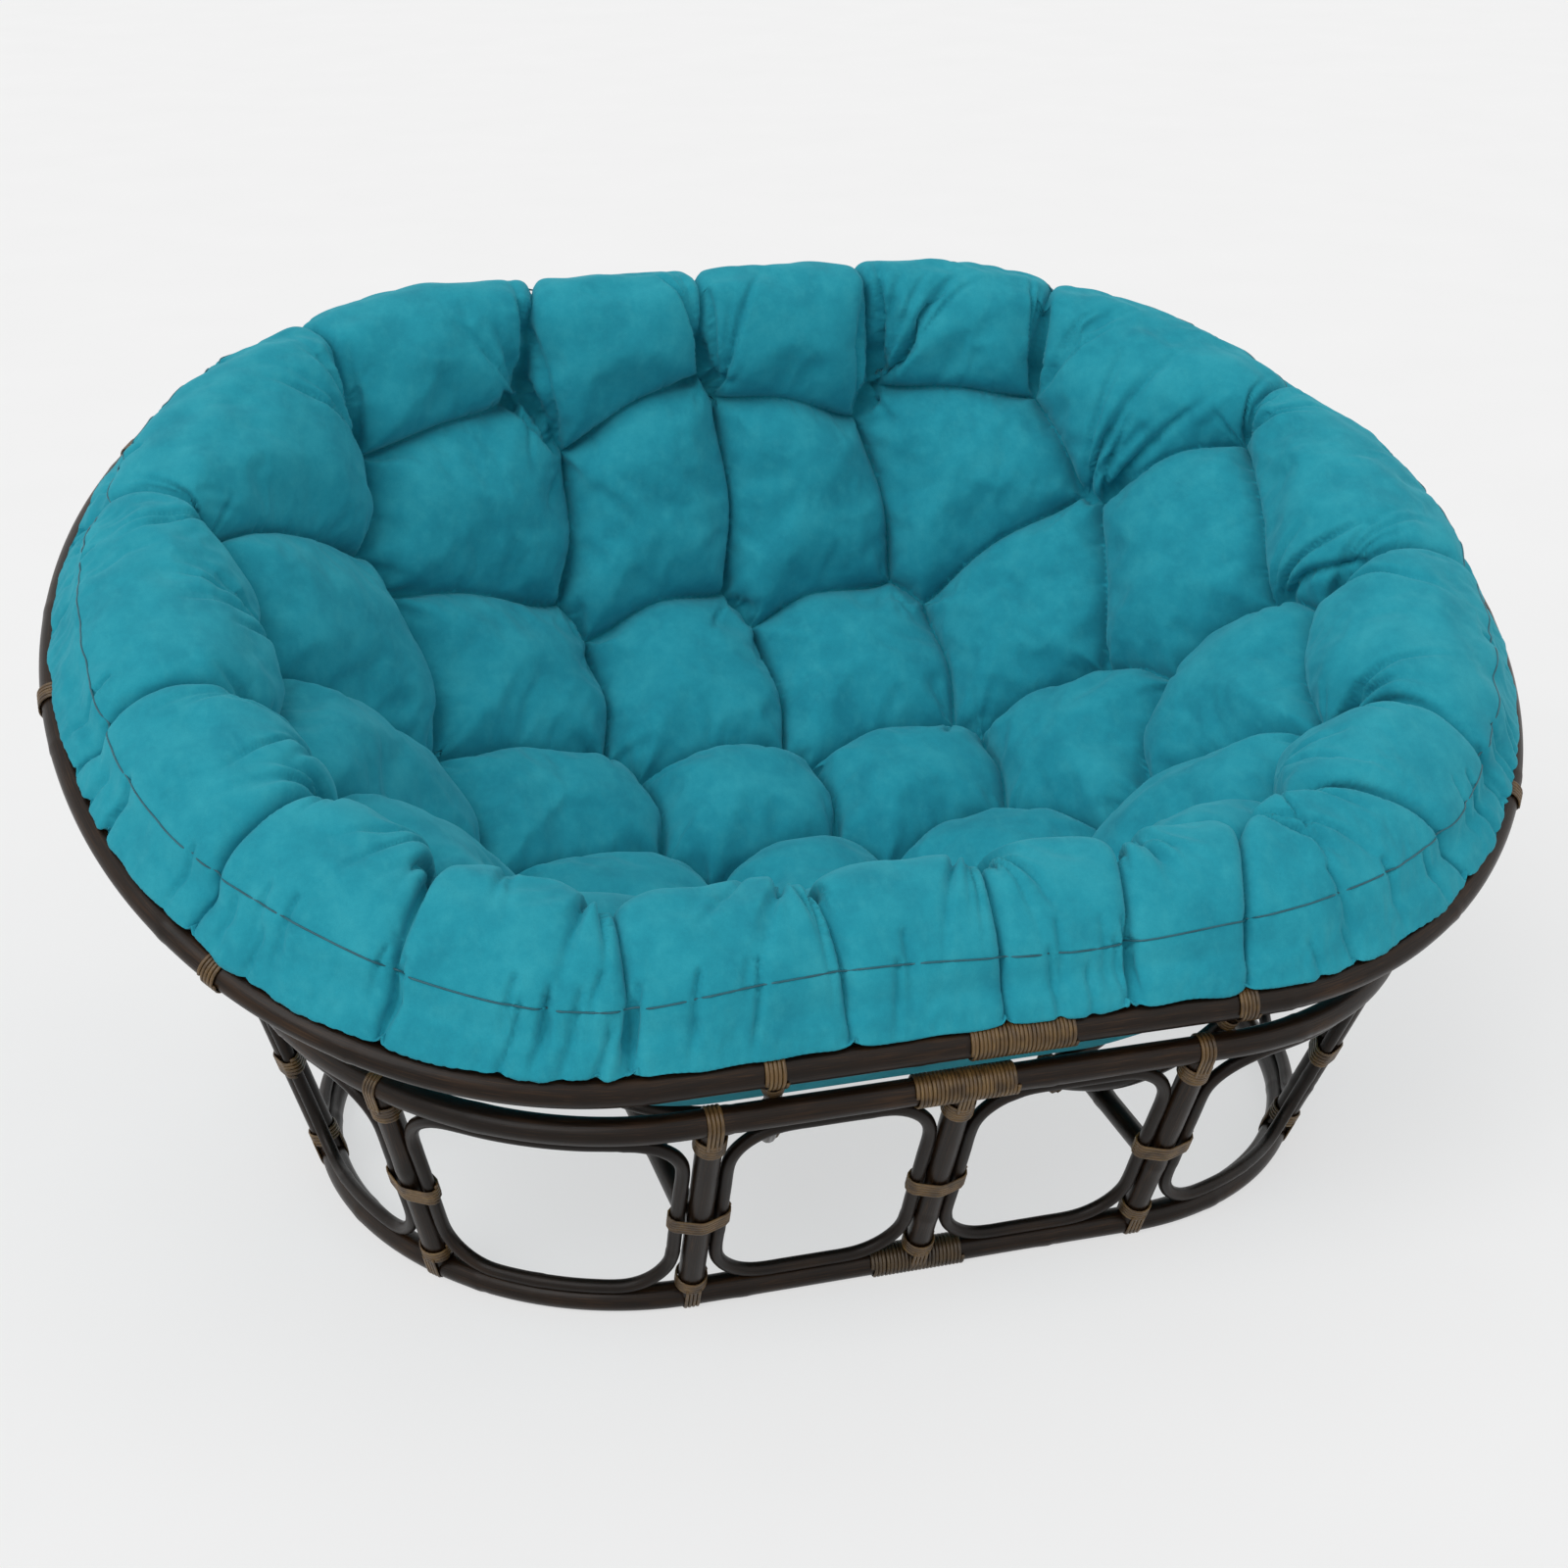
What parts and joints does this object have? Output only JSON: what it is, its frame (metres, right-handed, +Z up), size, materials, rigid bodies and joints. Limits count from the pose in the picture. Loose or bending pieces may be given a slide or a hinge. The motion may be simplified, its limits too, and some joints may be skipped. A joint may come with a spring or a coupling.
{
  "type": "papasan chair",
  "caption": "Wide papasan: an oval bowl of bent rattan lies tilted in an open oval rattan base and holds one deep tufted cushion.",
  "frame": {"origin": "on the floor, under the middle of the whole chair", "axes": "+X to the right of a viewer in front of the chair, +Y to the back, +Z up; the sitter faces -Y"},
  "size_m": [1.652, 1.1556, 0.8872],
  "materials": {
    "rattan": "satin",
    "cane": "satin",
    "binding": "satin",
    "suede": "matte"
  },
  "bodies": {
    "base": {"base_bottom_ring": "rattan", "base_top_ring": "rattan", "brace_left": "rattan", "brace_right": "rattan", "loop_back_left_inner_to_back_left_outer": "cane", "loop_back_left_outer_to_left_end": "cane", "loop_back_middle_to_back_left_inner": "cane", "loop_back_right_inner_to_back_middle": "cane", "loop_back_right_outer_to_back_right_inner": "cane", "loop_front_left_inner_to_front_middle": "cane", "loop_front_left_outer_to_front_left_inner": "cane", "loop_front_middle_to_front_right_inner": "cane", "loop_front_right_inner_to_front_right_outer": "cane", "loop_front_right_outer_to_right_end": "cane", "loop_left_end_to_front_left_outer": "cane", "loop_right_end_to_back_right_outer": "cane", "post_back_left_inner": "rattan", "post_back_left_outer": "rattan", "post_back_middle": "rattan", "post_back_right_inner": "rattan", "post_back_right_outer": "rattan", "post_front_left_inner": "rattan", "post_front_left_outer": "rattan", "post_front_middle": "rattan", "post_front_right_inner": "rattan", "post_front_right_outer": "rattan", "post_left_end": "rattan", "post_right_end": "rattan", "splice_top_ring": "binding", "tie_back_left_inner": "binding", "tie_back_left_outer": "binding", "tie_back_middle": "binding", "tie_back_right_inner": "binding", "tie_back_right_outer": "binding", "tie_front_left_inner": "binding", "tie_front_left_outer": "binding", "tie_front_middle": "binding", "tie_front_right_inner": "binding", "tie_front_right_outer": "binding", "tie_left_end": "binding", "tie_right_end": "binding"},
    "bowl": {"bowl_bottom_ring": "rattan", "bowl_middle_ring": "rattan", "bowl_rim": "rattan", "rib_back_left_corner": "rattan", "rib_back_left_inner": "rattan", "rib_back_right_corner": "rattan", "rib_back_right_inner": "rattan", "rib_front_left_corner": "rattan", "rib_front_left_inner": "rattan", "rib_front_right_corner": "rattan", "rib_front_right_inner": "rattan", "rib_left_end": "rattan", "rib_right_end": "rattan", "splice_rim": "binding"},
    "cushion": {"cushion": "suede"}
  },
  "joints": [
    {"name": "bowl_tilt", "type": "hinge", "parent": "base", "child": "bowl", "pos_m": [0, -0.04214, 0.66679], "axis": [1, 0, 0], "range_deg": [-23, 0]},
    {"name": "cushion_lift", "type": "slide", "parent": "bowl", "child": "cushion", "axis": [0, -0.3907, 0.9205], "range_m": [0, 0.5]}
  ]
}
